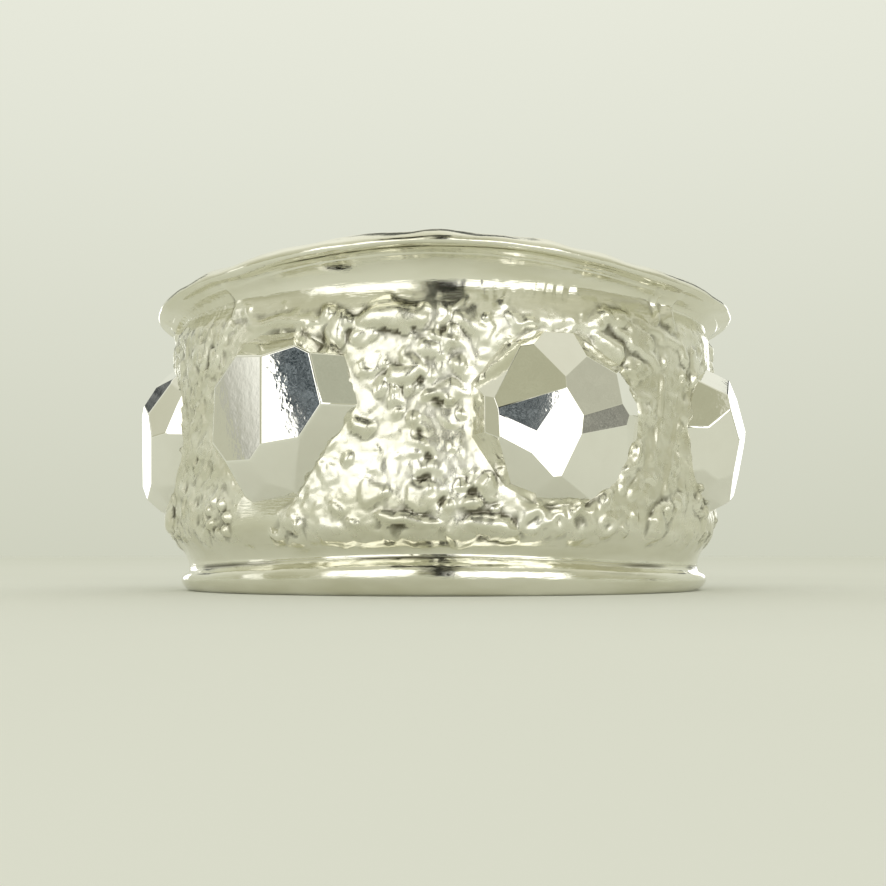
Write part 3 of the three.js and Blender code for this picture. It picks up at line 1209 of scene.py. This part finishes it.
def make_floor():
    mesh = bpy.data.meshes.new("floor")
    corners = [(x * FLOOR_HALF, y * FLOOR_HALF, 0) for x, y in ((-1, -1), (1, -1), (1, 1), (-1, 1))]
    mesh.from_pydata(corners, [], [(0, 1, 2, 3)])
    floor = bpy.data.objects.new("floor", mesh)
    bpy.context.scene.collection.objects.link(floor)
    material, tree, shader = new_material("pale_floor")
    coords = tree.nodes.new("ShaderNodeTexCoord").outputs["Object"]
    mottle = noise_node(tree, coords, FLOOR_MOTTLE)
    colour = ramp(tree, mottle.outputs["Fac"], FLOOR_TONES)
    tree.links.new(colour.outputs["Color"], shader.inputs["Base Color"])
    shader.inputs["Roughness"].default_value = FLOOR_ROUGHNESS
    shader.inputs["Specular IOR Level"].default_value = 0.0
    mesh.materials.append(material)


def make_world():
    """A pale surround: the metal mirrors it lighter behind the ring and duller in front of it."""
    world = bpy.data.worlds.new("surround")
    bpy.context.scene.world = world
    world.use_nodes = True
    tree = world.node_tree
    back = tree.nodes["Background"]
    coords = tree.nodes.new("ShaderNodeTexCoord").outputs["Generated"]
    split = tree.nodes.new("ShaderNodeSeparateXYZ")
    tree.links.new(coords, split.inputs["Vector"])
    behind = ramp(tree, split.outputs["Z"], WORLD_BEHIND)
    front = ramp(tree, split.outputs["Z"], WORLD_FRONT)
    side = add_node(tree, "ShaderNodeMapRange", From_Min=WORLD_TURN[0], From_Max=WORLD_TURN[1])
    tree.links.new(split.outputs["Y"], side.inputs["Value"])
    mix = tree.nodes.new("ShaderNodeMix")
    mix.data_type = "RGBA"
    backdrop = tree.nodes.new("ShaderNodeLightPath").outputs["Is Camera Ray"]
    pale = tree.nodes.new("ShaderNodeMath")
    pale.operation = "MAXIMUM"
    tree.links.new(side.outputs["Result"], pale.inputs[0])
    tree.links.new(backdrop, pale.inputs[1])
    tree.links.new(pale.outputs["Value"], mix.inputs["Factor"])
    tree.links.new(front.outputs["Color"], mix.inputs["A"])
    tree.links.new(behind.outputs["Color"], mix.inputs["B"])
    tree.links.new(mix.outputs["Result"], back.inputs["Color"])


def around(azimuth_deg, elevation_deg, away):
    """A place round the ring's middle: azimuth 0 is in front of it, and elevation is above it."""
    a = math.radians(azimuth_deg)
    e = math.radians(elevation_deg)
    place = Vector((math.sin(a) * math.cos(e), -math.cos(a) * math.cos(e), math.sin(e))) * away
    return place + Vector((0, 0, CAMERA_AIM))


def facing(place, roll_deg=0):
    """The turn of a thing at a place that looks at the ring's middle with its -Z side."""
    look = (Vector((0, 0, CAMERA_AIM)) - place).to_track_quat("-Z", "Y")
    return (look @ Quaternion((0, 0, 1), math.radians(roll_deg))).to_euler()


def make_lights():
    for box in SOFTBOXES:
        light = bpy.data.lights.new(box["name"], "AREA")
        light.shape = "RECTANGLE"
        light.size = box["width"]
        light.size_y = box["height"]
        light.energy = box["radiance"] * math.pi * box["width"] * box["height"]
        light.color = SOFTBOX_COLOUR
        lamp = bpy.data.objects.new(box["name"], light)
        lamp.location = around(box["azimuth_deg"], box["elevation_deg"], SOFTBOX_AWAY)
        lamp.rotation_euler = facing(lamp.location)
        lamp.visible_camera = False
        lamp.visible_diffuse = box["lights_floor"]
        bpy.context.scene.collection.objects.link(lamp)


def card_share(tree, card):
    """How much of a card's second tone shows, in a mottle or growing from its left edge, and its stops."""
    coords = tree.nodes.new("ShaderNodeTexCoord").outputs["Object"]
    tones = (card["dark"], card["light"])
    if not card["fade"]:
        mottle = noise_node(tree, coords, CARD_MOTTLE)
        return mottle.outputs["Fac"], list(zip(CARD_MOTTLE_RANGE, tones))
    split = tree.nodes.new("ShaderNodeSeparateXYZ")
    tree.links.new(coords, split.inputs["Vector"])
    left = -card["width"] / 2
    share = add_node(tree, "ShaderNodeMapRange", From_Min=left, From_Max=left + card["fade"])
    tree.links.new(split.outputs["X"], share.inputs["Value"])
    return share.outputs["Result"], list(zip((0, 1), tones))


def card_material(card):
    """A glow in the card's two tones."""
    material, tree, shader = new_material(card["name"])
    colour = ramp(tree, *card_share(tree, card))
    shader.inputs["Base Color"].default_value = (0, 0, 0, 1)
    shader.inputs["Specular IOR Level"].default_value = 0.0
    tree.links.new(colour.outputs["Color"], shader.inputs["Emission Color"])
    shader.inputs["Emission Strength"].default_value = 1.0
    return material


def make_cards():
    """Cards round the ring, which give the metal something to mirror."""
    for card in CARDS:
        mesh = bpy.data.meshes.new(card["name"])
        x = card["width"] / 2
        y = card["height"] / 2
        cut = card["cut"] * card["width"]
        mesh.from_pydata([(cut - x, -y, 0), (x, -y, 0), (x, y, 0), (-x, y, 0)], [], [(0, 1, 2, 3)])
        mesh.materials.append(card_material(card))
        thing = bpy.data.objects.new(card["name"], mesh)
        thing.location = around(card["azimuth_deg"], card["elevation_deg"], card["away"])
        thing.rotation_euler = facing(thing.location, card["roll_deg"])
        thing.visible_camera = False
        thing.visible_diffuse = False
        thing.visible_shadow = False
        bpy.context.scene.collection.objects.link(thing)


def make_camera():
    data = bpy.data.cameras.new("camera")
    data.lens = CAMERA_LENS
    data.clip_start = CAMERA_NEAREST
    camera = bpy.data.objects.new("camera", data)
    camera.location = (0, -CAMERA_AWAY, CAMERA_HEIGHT)
    camera.rotation_euler = facing(camera.location)
    bpy.context.scene.collection.objects.link(camera)
    bpy.context.scene.camera = camera


make_camera()
make_ring()
make_floor()
make_world()
make_lights()
make_cards()
bpy.context.scene.view_settings.view_transform = "Standard"
